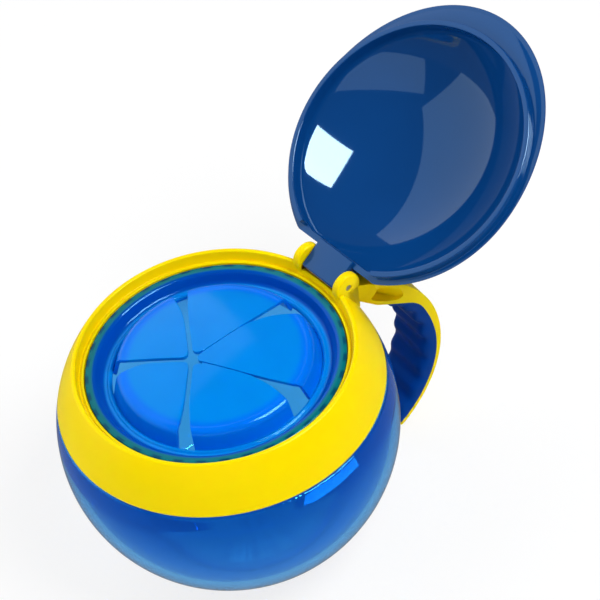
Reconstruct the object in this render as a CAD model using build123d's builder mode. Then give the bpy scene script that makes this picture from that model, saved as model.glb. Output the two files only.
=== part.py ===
from build123d import *
from math import atan2, cos, degrees, radians, sin, sqrt
import os

# A ball shaped snack cup: a clear bowl, a screw collar with a handle, a soft insert with five flaps and a
# hinged lid that stands open. Millimetres, +Z up, origin at the centre of the base, hinge and handle
# towards +Y.

# The ball
ball_radius = 47.7
ball_centre_height = 40.0
base_edge_fillet = 1.2

# The bowl
bowl_wall = 2.4
bowl_floor = 2.8
shoulder_height = 53.2
neck_wall = 2.4
neck_height = 7.0
neck_land_height = 1.6
neck_root_drop = 7.0

# The collar
collar_wall = 1.65
thread_depth = 1.2
thread_clearance = 0.3
collar_gap = 0.4
web_thickness = 1.8
web_reach = 2.55
lip_width = 0.75
lip_height = 1.35
groove_depth = 0.45
groove_width = 0.7
rim_over_lip = 2.75
rim_width = 1.1
rim_lean = 0.415
collar_edge_fillet = 0.8
rim_fillet = 0.4
notch_count = 36
notch_width = 2.2
notch_length = 1.1
notch_depth = 0.9

# The insert
seal_thickness = 1.2
seal_inset = 0.8
flange_thickness = 1.05
soft_gap = 0.25
channel_bank = 1.45
channel_width = 3.1
channel_floor = 1.1
flap_thickness = 1.1
flap_wall_height = 4.6
flap_wall_lean = 1.4
flap_shoulder = 2.4
dome_rise = 1.9
flap_count = 5
slit_width = 0.7
slit_mouth = 6.8
slit_straight_share = 0.45
star_x = -2.0
star_y = -6.0
star_radius = 1.3

# The hinge
pin_radius = 1.0
pin_reach = 1.285
pin_over_rim = 0.7
pin_clearance = 0.06
pin_recess = 0.2
ear_spacing = 16.7
ear_thickness = 2.5
ear_radius = 4.2
knuckle_radius = 2.9
knuckle_root = 0.9
knuckle_plate = 3.6
knuckle_gap = 0.25
knuckle_notch_gap = 0.5

# The lid
lid_opening = 148.0
lid_wall = 1.7
lid_seat_gap = 0.1
tab_overhang = 4.855
tab_inset = 0.645
tab_thickness = 2.0
chord_gap = 4.9
skirt_clearance = 0.23
skirt_wall = 1.65
skirt_gap = 0.25
skirt_root = 1.2
skirt_end_setback = 2.0

# The handle
handle_turn = 5.0
handle_width = 16.0
handle_radius = 35.0
finger_gap = 14.4
strap_length = 76.785
handle_thickness = 5.4
handle_end_thickness = 3.4
arm_top_angle = 65.7
arm_pin_gap = 0.6
arm_depth = 10.4
arm_bottom_gap = 5.66
arm_root_drop = 5.0
arm_root_inset = 2.6
arm_root_rise = 1.0
arm_bore_cover = 0.6
handle_fillet = 1.0
recess_depth = 4.8
recess_lip = 1.6
recess_setback = 3.6
recess_start_angle = 59.6
recess_end_angle = 38.0
skin_thickness = 2.0
grip_start_angle = 27.0
grip_end_setback = 5.0
grip_rib_count = 6
grip_rib_rise = 0.9
grip_rib_inset = 1.2
grip_rib_root = 0.5
grip_low_share = 0.06
grip_rib_end_share = 0.92

def ball_point(radius, height):
    """The point on a ball about the cup's ball centre, at a height over the base."""
    return (sqrt(radius**2 - (height - ball_centre_height) ** 2), height)


def ball_arc(radius, low, high):
    """The ball's outline between two heights over the base."""
    return ThreePointArc(
        ball_point(radius, low), ball_point(radius, (low + high) / 2), ball_point(radius, high)
    )


# Where the pieces meet, worked out from the sizes above
neck_top = shoulder_height + neck_height
collar_bottom = shoulder_height + collar_gap
web_bottom = neck_top + seal_thickness
web_top = web_bottom + web_thickness
lip_top = web_top + lip_height
rim_top = lip_top + rim_over_lip
flange_plane = rim_top + lid_seat_gap
pin_z = rim_top + pin_over_rim
bore_top = web_bottom - thread_depth - thread_clearance
bore_radius = ball_point(ball_radius, bore_top)[0] - collar_wall
neck_radius = bore_radius - thread_depth - thread_clearance
land_radius = neck_radius + thread_depth
rim_outer = ball_point(ball_radius, rim_top)[0]
rim_inner = rim_outer - rim_width
groove_outer = rim_inner - rim_lean
lip_outer = groove_outer - groove_width
lip_radius = lip_outer - lip_width
web_inner_radius = lip_radius - web_reach
pin_y = rim_outer + pin_reach
ear_inner = (ear_spacing - ear_thickness) / 2
ear_outer = (ear_spacing + ear_thickness) / 2
knuckle_half = ear_inner - knuckle_gap
hinge_axis = Axis((0, pin_y, pin_z), (1, 0, 0))


def rings_at(builder, height):
    """The round edges of a turned piece that lie at a height."""
    rings = builder.edges().filter_by(GeomType.CIRCLE)
    return [edge for edge in rings if abs(edge.center().Z - height) < 0.01]


# Bowl: the ball up to its shoulder, and the neck that carries the screw thread
inner_ball = ball_radius - bowl_wall
mouth_radius = neck_radius - neck_wall
land_top = shoulder_height + neck_land_height
root_height = shoulder_height - neck_root_drop

with BuildPart() as bowl:
    with BuildSketch(Plane.XZ):
        with BuildLine():
            Line((0, 0), ball_point(ball_radius, 0))
            ball_arc(ball_radius, 0, shoulder_height)
            Polyline(
                ball_point(ball_radius, shoulder_height),
                (land_radius, shoulder_height),
                (land_radius, land_top),
                (neck_radius, land_top),
                (neck_radius, neck_top),
                (mouth_radius, neck_top),
                (mouth_radius, land_top),
                ball_point(inner_ball, root_height),
            )
            ball_arc(inner_ball, bowl_floor, root_height)
            Polyline(ball_point(inner_ball, bowl_floor), (0, bowl_floor), (0, 0))
        make_face()
    revolve(axis=Axis.Z)
    fillet(rings_at(bowl, 0), radius=base_edge_fillet)
    fillet(rings_at(bowl, neck_top), radius=neck_wall * 0.3)

# Insert: a grommet that snaps over the collar's web, with a channel round the raised flaps
flange_radius = lip_radius - soft_gap
grommet_radius = web_inner_radius - soft_gap
channel_outer_radius = grommet_radius - channel_bank
flap_root_radius = channel_outer_radius - channel_width
seal_radius = neck_radius - seal_inset
ring_inner_radius = flap_root_radius + soft_gap
channel_floor_top = neck_top + channel_floor
flange_top = web_top + flange_thickness

with BuildPart() as flap_ring:
    with BuildSketch(Plane.XZ):
        with BuildLine():
            Polyline(
                (ring_inner_radius, neck_top),
                (seal_radius, neck_top),
                (seal_radius, web_bottom),
                (grommet_radius, web_bottom),
                (grommet_radius, web_top),
                (flange_radius, web_top),
                (flange_radius, flange_top),
                (grommet_radius, flange_top),
                (channel_outer_radius, channel_floor_top),
                (ring_inner_radius, channel_floor_top),
                close=True,
            )
        make_face()
    revolve(axis=Axis.Z)
    fillet(rings_at(flap_ring, flange_top), radius=flange_thickness * 0.35)

# Flaps: the raised dome, cut by five slits that meet off its middle
wall_top = neck_top + flap_wall_height
wall_top_radius = flap_root_radius - flap_wall_lean
dome_edge_radius = wall_top_radius - flap_shoulder
dome_edge_height = wall_top + flap_shoulder * 0.6
dome_top = dome_edge_height + dome_rise
flap_step = 360 / flap_count
slit_end_radius = flap_root_radius + 2.0


def dome_drop(edge_radius, out):
    """How far the dome's round top lies under its middle, at a distance out."""
    top_radius = (edge_radius**2 + dome_rise**2) / (2 * dome_rise)
    return top_radius - sqrt(top_radius**2 - out**2)


def dome_outline(depth):
    """The flap dome's outline from root to middle, moved inwards by a depth."""
    root = (flap_root_radius - depth, neck_top)
    wall_end = (wall_top_radius - depth, wall_top - depth / 2)
    edge = (dome_edge_radius - depth / 2, dome_edge_height - depth)
    knee = (wall_end[0] - flap_shoulder * 0.3, wall_end[1] + (edge[1] - wall_end[1]) * 0.7)
    crown = (edge[0] / 2, dome_top - depth - dome_drop(edge[0], edge[0] / 2))
    Line(root, wall_end)
    ThreePointArc(wall_end, knee, edge)
    ThreePointArc(edge, crown, (0, dome_top - depth))


with BuildPart() as flap_dome:
    with BuildSketch(Plane.XZ):
        with BuildLine():
            dome_outline(0)
            dome_outline(flap_thickness)
            Line((flap_root_radius, neck_top), (flap_root_radius - flap_thickness, neck_top))
            Line((0, dome_top), (0, dome_top - flap_thickness))
        make_face()
    revolve(axis=Axis.Z)
    for index in range(flap_count):
        slit_angle = radians(90 + index * flap_step)
        run_x = slit_end_radius * cos(slit_angle) - star_x
        run_y = slit_end_radius * sin(slit_angle) - star_y
        reach = sqrt(run_x**2 + run_y**2)
        slit_plane = Plane(origin=(star_x, star_y, neck_top - 1), x_dir=(run_x, run_y, 0), z_dir=(0, 0, 1))
        with BuildSketch(slit_plane):
            with BuildLine():
                side = Line((0, slit_width / 2), (reach * slit_straight_share, slit_width / 2))
                flare = TangentArc(side @ 1, (reach, slit_mouth / 2), tangent=side % 1)
                Polyline(flare @ 1, (reach, 0), (0, 0), side @ 0)
            make_face()
            mirror(about=Plane.XZ)
        extrude(amount=dome_top - neck_top + 2, mode=Mode.SUBTRACT)
    with BuildSketch(Plane.XY.offset(neck_top)):
        with Locations((star_x, star_y)):
            Circle(star_radius)
    extrude(amount=dome_top - neck_top + 1, mode=Mode.SUBTRACT)


def flap_angle(solid):
    """A flap's place round the cup, counted from the slit that points at the hinge."""
    centre = solid.center()
    return (degrees(atan2(centre.Y, centre.X)) - 90) % 360


flaps = []
for solid in sorted(flap_dome.part.solids(), key=flap_angle):
    with BuildPart() as flap:
        add(solid)
    flaps.append(flap)

# Collar: a turned band that follows the ball, with a web for the insert and a groove for the lid
groove_bottom = lip_top - groove_depth
handle_plane = Plane(
    origin=(0, 0, 0),
    x_dir=(sin(radians(handle_turn)), cos(radians(handle_turn)), 0),
    z_dir=(cos(radians(handle_turn)), -sin(radians(handle_turn)), 0),
)

arm_top_height = pin_z - pin_radius - arm_pin_gap
handle_centre_out = ball_radius + finger_gap + handle_thickness - handle_radius
handle_centre_height = arm_top_height - handle_radius * sin(radians(arm_top_angle))
handle_end_angle = arm_top_angle - degrees(strap_length / handle_radius)
grip_end_angle = handle_end_angle + grip_end_setback


def handle_point(radius, angle):
    """A point of the handle's plane, at a radius about its bend and an angle up from level."""
    return (
        handle_centre_out + radius * cos(radians(angle)),
        handle_centre_height + radius * sin(radians(angle)),
    )


arm_bottom_height = arm_top_height - arm_depth
arm_bottom_out = ball_point(ball_radius, arm_bottom_height)[0] + arm_bottom_gap
arm_root_out = rim_inner + arm_root_inset
arm_root_height = arm_top_height - arm_root_drop + arm_root_rise
inner_radius = handle_radius - handle_thickness
skin_radius = handle_radius - skin_thickness
handle_end_inner = handle_point(handle_radius - handle_end_thickness, handle_end_angle)
inner_middle = handle_point(inner_radius, 0)

with BuildLine() as inner_face:
    ThreePointArc(handle_end_inner, inner_middle, (arm_bottom_out, arm_bottom_height))
inner_arc = inner_face.edges()[0]


def inner_normal(share):
    """The way from the handle's inner face towards the ball, at a share of its length."""
    along = inner_arc % share
    return Vector(-along.Y, along.X)


def grip_outline():
    """The grip's outline without its ribs, from the handle's outer skin to its inner face."""
    tip = Line((arm_bottom_out, arm_bottom_height), handle_point(skin_radius, grip_start_angle))
    skin = ThreePointArc(
        tip @ 1,
        handle_point(skin_radius, (grip_start_angle + grip_end_angle) / 2),
        handle_point(skin_radius, grip_end_angle),
    )
    Line(skin @ 1, inner_arc @ grip_low_share)
    ThreePointArc(inner_arc @ grip_low_share, inner_arc @ ((1 + grip_low_share) / 2), inner_arc @ 1)


with BuildPart() as collar:
    with BuildSketch(Plane.XZ):
        with BuildLine():
            Line((bore_radius, collar_bottom), ball_point(ball_radius, collar_bottom))
            ball_arc(ball_radius, collar_bottom, rim_top)
            Polyline(
                ball_point(ball_radius, rim_top),
                (rim_inner, rim_top),
                (groove_outer, groove_bottom),
                (lip_outer, groove_bottom),
                (lip_outer, lip_top),
                (lip_radius, lip_top),
                (lip_radius, web_top),
                (web_inner_radius, web_top),
                (web_inner_radius, web_bottom),
                (neck_radius, web_bottom),
                (bore_radius, bore_top),
                (bore_radius, collar_bottom),
            )
        make_face()
    revolve(axis=Axis.Z)
    fillet(rings_at(collar, rim_top), radius=rim_fillet)
    fillet(rings_at(collar, collar_bottom)[0:2], radius=collar_edge_fillet)
    # Pockets under the insert's flange, which show through it as dark dashes
    with BuildSketch(Plane.XY.offset(web_top)):
        with PolarLocations(lip_radius - notch_length / 2, notch_count):
            Rectangle(notch_length, notch_width)
    extrude(amount=-notch_depth, mode=Mode.SUBTRACT)
    # Ears that carry the hinge pin
    for side in (-1, 1):
        with BuildSketch(Plane.YZ.offset(side * ear_spacing / 2)):
            with BuildLine():
                Polyline(
                    (pin_y - ear_radius, pin_z),
                    (lip_outer + groove_width / 2, web_top),
                    (lip_outer + groove_width / 2, web_bottom + web_thickness / 3),
                    (bore_radius + web_thickness, bore_top + web_thickness / 2),
                    (pin_y + ear_radius, pin_z),
                    close=True,
                )
            make_face()
            with Locations((pin_y, pin_z)):
                Circle(ear_radius)
        extrude(amount=ear_thickness / 2, both=True)
    # Handle: an arm that leaves the band behind the ears and bends down round the ball
    with BuildSketch(handle_plane):
        with BuildLine():
            Polyline(
                (arm_root_out, arm_root_height),
                (arm_root_out, arm_top_height),
                handle_point(handle_radius, arm_top_angle),
            )
            ThreePointArc(
                handle_point(handle_radius, arm_top_angle),
                handle_point(handle_radius, 0),
                handle_point(handle_radius, handle_end_angle),
            )
            Line(handle_point(handle_radius, handle_end_angle), handle_end_inner)
            ThreePointArc(handle_end_inner, inner_middle, (arm_bottom_out, arm_bottom_height))
            Polyline(
                (arm_bottom_out, arm_bottom_height),
                (bore_radius + arm_bore_cover, arm_top_height - arm_root_drop),
                (arm_root_out, arm_root_height),
            )
        make_face()
    extrude(amount=handle_width / 2, both=True)
    bend_edges = [
        edge for edge in collar.edges().filter_by(GeomType.CIRCLE) if abs(edge.radius - handle_radius) < 0.001
    ]
    fillet(bend_edges, radius=handle_fillet)
    # The grip's seat, and a scoop in each flank of the arm
    with BuildSketch(handle_plane):
        with BuildLine():
            grip_outline()
        make_face()
    extrude(amount=handle_width, both=True, mode=Mode.SUBTRACT)
    for side in (-1, 1):
        with BuildSketch(handle_plane.offset(side * handle_width / 2)):
            with BuildLine():
                recess_foot = (arm_bottom_out - recess_setback, arm_bottom_height + recess_lip * 2.6)
                recess_tip = (arm_bottom_out + recess_lip / 2, arm_bottom_height + recess_lip)
                roof = ThreePointArc(
                    handle_point(skin_radius, recess_start_angle),
                    handle_point(skin_radius, (recess_start_angle + recess_end_angle) / 2),
                    handle_point(skin_radius, recess_end_angle),
                )
                Polyline(roof @ 1, recess_tip, recess_foot, roof @ 0)
            make_face()
            fillet(vertices(), radius=recess_lip / 2)
        extrude(amount=-side * recess_depth, mode=Mode.SUBTRACT)
    # Room for the lid's knuckle between the ears, and the pin's holes
    with BuildSketch(Plane.YZ):
        with Locations((pin_y, pin_z)):
            Circle(knuckle_radius + knuckle_notch_gap)
    extrude(amount=ear_inner, both=True, mode=Mode.SUBTRACT)
    with BuildSketch(Plane.YZ):
        with Locations((pin_y, pin_z)):
            Circle(pin_radius)
    extrude(amount=ear_outer + 1, both=True, mode=Mode.SUBTRACT)

# Grip: a soft ribbed pad moulded into the handle's inner side
with BuildPart() as handle_grip:
    with BuildSketch(handle_plane):
        with BuildLine():
            grip_outline()
        make_face()
    extrude(amount=handle_width / 2, both=True)
    # Finger ribs, side by side on the inner face, which stop short of its edges
    rib_step = (grip_rib_end_share - grip_low_share) / grip_rib_count
    with BuildSketch(handle_plane):
        for rib in range(grip_rib_count):
            start = grip_low_share + rib * rib_step
            towards_ball = inner_normal(start + rib_step / 2)
            with BuildLine():
                ThreePointArc(
                    inner_arc @ start,
                    (inner_arc @ (start + rib_step / 2)) + towards_ball * grip_rib_rise,
                    inner_arc @ (start + rib_step),
                )
                Polyline(
                    inner_arc @ (start + rib_step),
                    (inner_arc @ (start + rib_step)) - towards_ball * grip_rib_root,
                    (inner_arc @ start) - towards_ball * grip_rib_root,
                    inner_arc @ start,
                )
            make_face()
    extrude(amount=handle_width / 2 - grip_rib_inset, both=True)

# Pin
with BuildPart() as hinge_pin:
    with BuildSketch(Plane.YZ):
        with Locations((pin_y, pin_z)):
            Circle(pin_radius)
    extrude(amount=ear_outer - pin_recess, both=True)

# Lid, modelled shut on the collar and then swung open about the pin
lid_inner = ball_radius - lid_wall
flange_outer = ball_point(ball_radius, flange_plane)[0]
skirt_outer = groove_outer - skirt_clearance
skirt_inner_radius = skirt_outer - skirt_wall
skirt_bottom = lip_top + skirt_gap
chord_distance = pin_y - chord_gap
skirt_end_distance = chord_distance - skirt_end_setback
knuckle_root_y = chord_distance - knuckle_root
tab_reach = flange_outer + tab_overhang
tab_half_width = flange_outer - tab_inset


def cap_outline(radius):
    """Half the outline of the ball's cap over the flange plane."""
    Line((0, flange_plane), ball_point(radius, flange_plane))
    top = ball_centre_height + radius
    ThreePointArc(ball_point(radius, flange_plane), ball_point(radius, (flange_plane + top) / 2), (0, top))
    Line((0, top), (0, flange_plane))


with BuildPart() as lid_hollow:
    with BuildSketch(Plane.XZ):
        with BuildLine():
            cap_outline(lid_inner)
        make_face()
    revolve(axis=Axis.Z)
    split(bisect_by=Plane.XZ.offset(-(chord_distance - lid_wall)), keep=Keep.TOP)

with BuildPart() as closed_lid:
    with BuildSketch(Plane.XZ):
        with BuildLine():
            cap_outline(ball_radius)
        make_face()
    revolve(axis=Axis.Z)
    # Thumb tab: the flange runs out to a long oval at the front
    with BuildSketch(Plane.XY.offset(flange_plane)):
        Ellipse(tab_half_width, tab_reach)
        with Locations((0, tab_reach / 2)):
            Rectangle(2 * tab_reach, tab_reach, mode=Mode.SUBTRACT)
    extrude(amount=tab_thickness)
    split(bisect_by=Plane.XZ.offset(-chord_distance), keep=Keep.TOP)
    add(lid_hollow.part, mode=Mode.SUBTRACT)
    # Skirt: an open ring that drops into the groove of the soft insert
    with BuildSketch(Plane.XY.offset(skirt_bottom)):
        Circle(skirt_outer)
        Circle(skirt_inner_radius, mode=Mode.SUBTRACT)
        with Locations((0, skirt_end_distance + skirt_outer / 2)):
            Rectangle(2 * skirt_outer, skirt_outer, mode=Mode.SUBTRACT)
    extrude(amount=flange_plane - skirt_bottom + skirt_root)
    # Knuckle: a plate off the flange, rolled round the pin
    with BuildSketch(Plane.YZ):
        with BuildLine():
            Polyline(
                (knuckle_root_y, flange_plane),
                (pin_y - 0.4, flange_plane),
                (pin_y, pin_z + knuckle_radius),
                (knuckle_root_y, flange_plane + knuckle_plate),
                close=True,
            )
        make_face()
        with Locations((pin_y, pin_z)):
            Circle(knuckle_radius)
    extrude(amount=knuckle_half, both=True)
    with BuildSketch(Plane.YZ):
        with Locations((pin_y, pin_z)):
            Circle(pin_radius + pin_clearance)
    extrude(amount=knuckle_half + 1, both=True, mode=Mode.SUBTRACT)

with BuildPart() as lid:
    add(closed_lid.part.rotate(hinge_axis, -lid_opening))

pieces = {
    "bowl": bowl,
    "collar": collar,
    "handle_grip": handle_grip,
    "hinge_pin": hinge_pin,
    "lid": lid,
    "flap_ring": flap_ring,
}
for number, flap in enumerate(flaps, start=1):
    pieces[f"flap_{number}"] = flap

os.makedirs("parts", exist_ok=True)
for name, piece in pieces.items():
    piece.part.label = name
    export_step(piece.part, f"parts/{name}.step")
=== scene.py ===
from math import asin, atan2, cos, degrees, pi, radians, sin, sqrt

import bmesh
import bpy
from mathutils import Matrix, Vector


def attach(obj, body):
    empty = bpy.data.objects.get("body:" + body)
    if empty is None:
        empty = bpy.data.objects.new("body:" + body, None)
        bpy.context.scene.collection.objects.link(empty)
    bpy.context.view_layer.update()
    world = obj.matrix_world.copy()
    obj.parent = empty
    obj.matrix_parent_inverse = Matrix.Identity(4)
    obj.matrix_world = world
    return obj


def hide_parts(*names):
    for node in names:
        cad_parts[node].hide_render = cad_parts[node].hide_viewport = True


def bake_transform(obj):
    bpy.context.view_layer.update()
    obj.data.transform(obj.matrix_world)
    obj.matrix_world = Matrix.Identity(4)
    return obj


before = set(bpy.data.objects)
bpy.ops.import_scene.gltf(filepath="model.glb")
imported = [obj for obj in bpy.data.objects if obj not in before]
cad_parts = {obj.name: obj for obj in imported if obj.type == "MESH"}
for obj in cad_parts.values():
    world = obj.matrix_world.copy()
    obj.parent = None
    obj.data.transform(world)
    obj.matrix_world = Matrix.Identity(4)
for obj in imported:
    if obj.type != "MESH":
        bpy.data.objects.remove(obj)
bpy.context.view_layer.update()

bl_info = {
    "name": "Ball snack cup",
    "version": (1, 0, 0),
    "blender": (4, 5, 0),
    "location": "View3D > Sidebar > Snack cup",
    "description": "A ball shaped snack cup with a screw collar, soft flaps, a bent handle and a hinged lid",
    "category": "Add Mesh",
}

MM = 0.001

# Sizes in millimetres that several pieces share
SEAL = 1.2  # the insert's ring, between the bowl's mouth and the collar's web
WEB = 1.8  # the collar's web, that the insert clips over
WEB_EDGE = 33.6  # radius of the web's inner edge
POCKETS = 36  # pockets round the web
PIN_RADIUS = 1.0
NOTCH = (3.3, 14.2)  # room for the knuckle round the pin: radius and width
KNUCKLE = (2.9, 13.7)  # the lid's knuckle: radius and width
PLATE_DROP = 1.78  # underside of the knuckle's plate, below the pin
SKIRT = (35.72, 37.37)  # inside and outside of the lid's skirt
HANDLE_CENTRE = (32.5, 34.5)  # middle of the handle's bend
SKIN = (1.15, 2.6)  # the handle's yellow skin, at its lower end and at its top
GRIP_FOOT, GRIP_WAIST, GRIP_TIP = (48.3, 7.1), (62.1, 34.5), (50.6, 56.0)

# The five slits, each with its azimuth and how far its two sides flare, on the slit circle, and
# between them half its width by the star
SLITS = (
    (radians(92.5), 0.15, 11.5, 1.0),
    (radians(158.5), 0.6, 1.8, 6.0),
    (radians(228.0), 0.75, 1.2, 11.0),
    (radians(305.0), 0.65, 3.0, 2.9),
    (radians(18.5), 0.15, 7.6, 2.2),
)
SLIT_CIRCLE = 30.8
STAR = (-2.0, -6.0)  # where the slits meet

# Softboxes: place, aim, the way that the upper edge lies, width and height in metres, power in watts
GLINT_AIM, GLINT_OVER = (-0.027, 0.065, 0.077), (-0.4, 0.92, 0)
CUP_MIDDLE = (0, 0.05, 0.08)
SOFTBOXES = {
    "square softbox": ((0.345, 0.233, 0.645), GLINT_AIM, GLINT_OVER, 0.38, 0.39, 4.4),
    "glint": ((0.348, 0.235, 0.650), GLINT_AIM, GLINT_OVER, 0.38, 0.39, 14.0),
    "wide softbox": ((-0.74, -0.36, 0.58), CUP_MIDDLE, (0.35, 0.0, 1.0), 2.3, 1.2, 13.0),
    "low softbox": ((0.62, -0.74, 0.33), CUP_MIDDLE, (0, 0, 1), 1.3, 0.5, 2.6),
}

# Camera: place in metres, angles in radians, lens in millimetres
CAMERA_PLACE = (0.38766, -0.21658, 0.54583)
CAMERA_TURN, CAMERA_TILT, CAMERA_ROLL = 1.0038, 0.8088, -0.1871
CAMERA_LENS, CAMERA_SENSOR = 145.21, 36


# Colours and small measures


def linear(code):
    """A written sRGB colour as linear red, green and blue."""
    parts = [int(code[place:place + 2], 16) / 255 for place in (1, 3, 5)]
    return [part / 12.92 if part <= 0.04045 else ((part + 0.055) / 1.055) ** 2.4 for part in parts]


def colour(name, code, words):
    """A colour that the user can change."""
    return bpy.props.FloatVectorProperty(
        name=name, description=words, subtype="COLOR", size=3, min=0, max=1, default=linear(code)
    )


def length(name, millimetres, words):
    """A length that the user can change, written in millimetres."""
    return bpy.props.FloatProperty(
        name=name, description=words, unit="LENGTH", subtype="DISTANCE", default=millimetres * MM
    )


class CupSizes(bpy.types.PropertyGroup):
    """Sizes of the cup's pieces."""

    ball: length("Ball radius", 47.69, "Outside of the bowl, the collar and the shut lid")
    ball_height: length("Ball height", 40.0, "Centre of the ball over the table")
    bowl_wall: length("Bowl wall", 2.4, "Thickness of the clear bowl")
    bowl_floor: length("Bowl floor", 2.8, "Thickness of the bowl under the food")
    shoulder: length("Shoulder", 53.2, "Height of the step that the collar comes down to")
    neck: length("Neck radius", 40.2, "Outside of the bowl's neck under the thread")
    neck_top: length("Neck top", 60.2, "Height of the bowl's mouth")
    thread_lead: length("Thread lead", 8.0, "Rise of the collar in one turn")
    thread_depth: length("Thread depth", 1.1, "How far the thread stands out of the neck")
    bore: length("Collar bore", 41.7, "Inside of the collar round the neck")
    rim_top: length("Rim top", 67.3, "Height of the collar's rim")
    rim_width: length("Rim width", 1.1, "Flat top of the collar's rim")
    lip: length("Lip radius", 36.15, "Inside of the raised lip round the insert")
    pin_out: length("Pin distance", 40.4, "Hinge pin from the cup's upright axis")
    pin_height: length("Pin height", 68.0, "Hinge pin over the table")
    ear_spacing: length("Ear spacing", 16.7, "Between the middles of the two hinge ears")
    flap_root: length("Flap root radius", 28.8, "Where the flaps leave the insert")
    flap_thickness: length("Flap thickness", 1.1, "Thickness of the soft flaps")
    lid_wall: length("Lid wall", 1.7, "Thickness of the lid's dome")
    tab_reach: length("Tab reach", 43.9, "Tip of the thumb tab from the lid's middle")
    handle_width: length("Handle width", 16.0, "Width of the handle and its grip")
    handle_bend: length("Handle bend", 35.0, "Radius of the handle's outer bend")
    lid_opening: bpy.props.FloatProperty(
        name="Lid opening", description="How far the lid stands open", subtype="ANGLE", default=radians(148)
    )


class CupColours(bpy.types.PropertyGroup):
    """Colours of the cup's plastics."""

    bowl: colour("Bowl", "#3296E0", "Tint of the clear bowl")
    bowl_edge: colour("Bowl edge", "#7DC0F4", "Tint of the bowl where it is seen along its wall")
    yellow: colour("Collar", "#F7DA00", "Collar, ears and handle")
    soft: colour("Flaps", "#0090EE", "Soft flaps where light passes them")
    soft_rim: colour("Flap rim", "#007CF8", "Soft flaps at their rim and wall")
    soft_deep: colour("Insert channel", "#0054C0", "Soft insert where it is thick")
    soft_flange: colour("Insert flange", "#067A86", "Soft insert where the yellow shows through")
    soft_pocket_shade: colour("Insert pockets", "#045070", "Soft insert over the pockets")
    # Painted shade: the flange's darker colour over the collar's pockets
    navy: colour("Lid", "#063E7C", "Hinged lid")
    grip: colour("Grip", "#003C90", "Soft handle grip")
    steel: colour("Pin", "#C8C8C4", "Hinge pin")
    floor: colour("Floor", "#FFFFFF", "Floor and backdrop")


# Materials


def add_node(tree, kind, settings=None, links=None):
    """Adds a node, sets its sockets or properties and links its inputs."""
    node = tree.nodes.new(kind)
    for key, value in (settings or {}).items():
        if isinstance(key, int) or key in node.inputs:
            node.inputs[key].default_value = value
        else:
            setattr(node, key, value)
    for key, source in (links or {}).items():
        tree.links.new(source, node.inputs[key])
    return node


def new_material(name):
    """An empty node material and its output node."""
    material = bpy.data.materials.new(name)
    material.use_nodes = True
    material.node_tree.nodes.clear()
    return material, material.node_tree, material.node_tree.nodes.new("ShaderNodeOutputMaterial")


def rgba(values):
    """A colour property as four numbers."""
    return (values[0], values[1], values[2], 1)


def flow(tree, millimetres, contrast):
    """Slow changes in a moulded surface, as a factor, and the object coordinates that they lie in."""
    place = add_node(tree, "ShaderNodeTexCoord").outputs["Object"]
    noise = add_node(
        tree, "ShaderNodeTexNoise", {"Scale": 1 / (millimetres * MM), "Detail": 3.0}, {"Vector": place}
    )
    ramp = add_node(
        tree,
        "ShaderNodeMapRange",
        {"From Min": 0.3, "From Max": 0.7, "To Min": 0.5 - contrast / 2, "To Max": 0.5 + contrast / 2},
        {"Value": noise.outputs["Fac"]},
    )
    return ramp.outputs["Result"], place


def patchy(tree, factor, values, share):
    """A base colour that goes down to a share of itself in the patches of a factor."""
    dark = (values[0] * share, values[1] * share, values[2] * share, 1)
    mix = add_node(tree, "ShaderNodeMix", {"data_type": "RGBA", 6: rgba(values), 7: dark}, {0: factor})
    return mix.outputs[2]


def skin_bump(tree, place, millimetres, height, strength):
    """The fine unevenness of a moulded skin."""
    grain = add_node(
        tree, "ShaderNodeTexNoise", {"Scale": 1 / (millimetres * MM), "Detail": 2.0}, {"Vector": place}
    )
    bump = add_node(
        tree,
        "ShaderNodeBump",
        {"Strength": strength, "Distance": height * MM},
        {"Height": grain.outputs["Fac"]},
    )
    return bump.outputs["Normal"]


def yellow_polypropylene(colours):
    """Injection moulded polypropylene: even colour, semi gloss, a little light goes in under the skin."""
    material, tree, out = new_material("yellow moulded polypropylene")
    factor, place = flow(tree, 22, 0.6)
    shader = add_node(
        tree,
        "ShaderNodeBsdfPrincipled",
        {
            "Roughness": 0.3,
            "IOR": 1.49,
            "Specular IOR Level": 0.15,
            "Specular Tint": (1.0, 0.86, 0.2, 1),
            "Subsurface Weight": 0.3,
            "Subsurface Radius": (1.0, 0.5, 0.05),
            "Subsurface Scale": 2.5 * MM,
        },
        {
            "Base Color": patchy(tree, factor, colours.yellow, 0.96),
            "Normal": skin_bump(tree, place, 9, 0.02, 0.25),
        },
    )
    tree.links.new(shader.outputs[0], out.inputs["Surface"])
    return material


def navy_polypropylene(colours):
    """Polished injection moulding: deep even colour under a wet looking gloss."""
    material, tree, out = new_material("navy polished polypropylene")
    factor, place = flow(tree, 25, 0.7)
    shader = add_node(
        tree,
        "ShaderNodeBsdfPrincipled",
        {"Roughness": 0.05, "IOR": 1.5, "Specular Tint": (0.5, 0.8, 1.0, 1)},
        {
            "Base Color": patchy(tree, factor, colours.navy, 0.9),
            "Normal": skin_bump(tree, place, 30, 0.02, 0.15),
        },
    )
    tree.links.new(shader.outputs[0], out.inputs["Surface"])
    return material


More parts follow.
